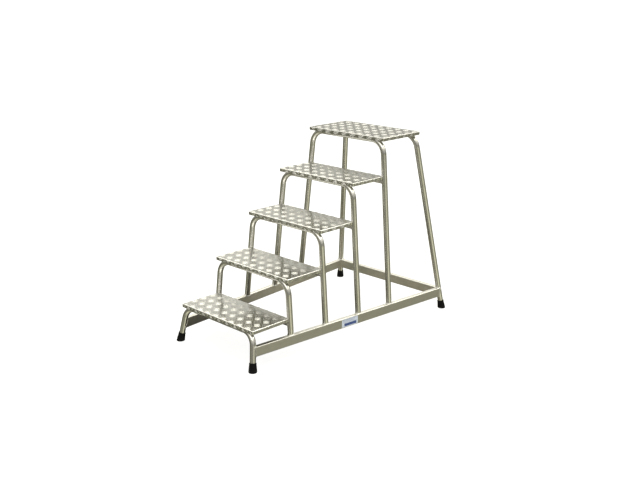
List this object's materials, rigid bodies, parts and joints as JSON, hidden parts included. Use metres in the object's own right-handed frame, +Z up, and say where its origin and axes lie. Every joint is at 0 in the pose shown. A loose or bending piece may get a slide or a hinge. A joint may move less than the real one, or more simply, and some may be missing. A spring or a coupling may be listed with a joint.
{
  "type": "mounting block",
  "caption": "Free-standing stepped platform of aluminium chequer-plate treads on splayed round-tube hoops, with a rectangular-tube base and rubber feet.",
  "frame": {"origin": "on the floor, in the middle of the whole block's bounding box", "axes": "+X to the climber's right, +Y the climbing direction, from the lowest tread to the highest, +Z up"},
  "size_m": [0.8272, 1.3658, 1],
  "materials": {
    "tread_plate": "bright mill-finish five-bar chequer plate, raised bars worn shiny",
    "tube": "mill-finish drawn round tube with fine lengthwise lines",
    "rail": "mill-finish extruded rectangular tube, satin",
    "weld": "bright rippled TIG weld bead",
    "foot_rubber": "black moulded rubber",
    "washer_steel": "plain zinc-plated washer",
    "label": "pale grey-blue foil with plain unlettered bands"
  },
  "bodies": {
    "root": {"cross_bar_1": "tube", "cross_bar_2": "tube", "cross_bar_3": "tube", "cross_bar_4": "tube", "cross_bar_welds": "weld", "foot_front_left": "foot_rubber", "foot_front_right": "foot_rubber", "foot_rear_left": "foot_rubber", "foot_rear_right": "foot_rubber", "foot_washers": "washer_steel", "front_frame_1": "tube", "front_frame_2": "tube", "front_frame_3": "tube", "front_frame_4": "tube", "front_frame_5": "tube", "left_rail": "rail", "leg_rail_welds": "weld", "rail_end_welds": "weld", "rail_label": "label", "rear_frame": "tube", "rear_rail": "rail", "right_rail": "rail", "top_platform": "tread_plate", "tread_1": "tread_plate", "tread_2": "tread_plate", "tread_3": "tread_plate", "tread_4": "tread_plate", "tread_welds": "weld"}
  },
  "joints": []
}
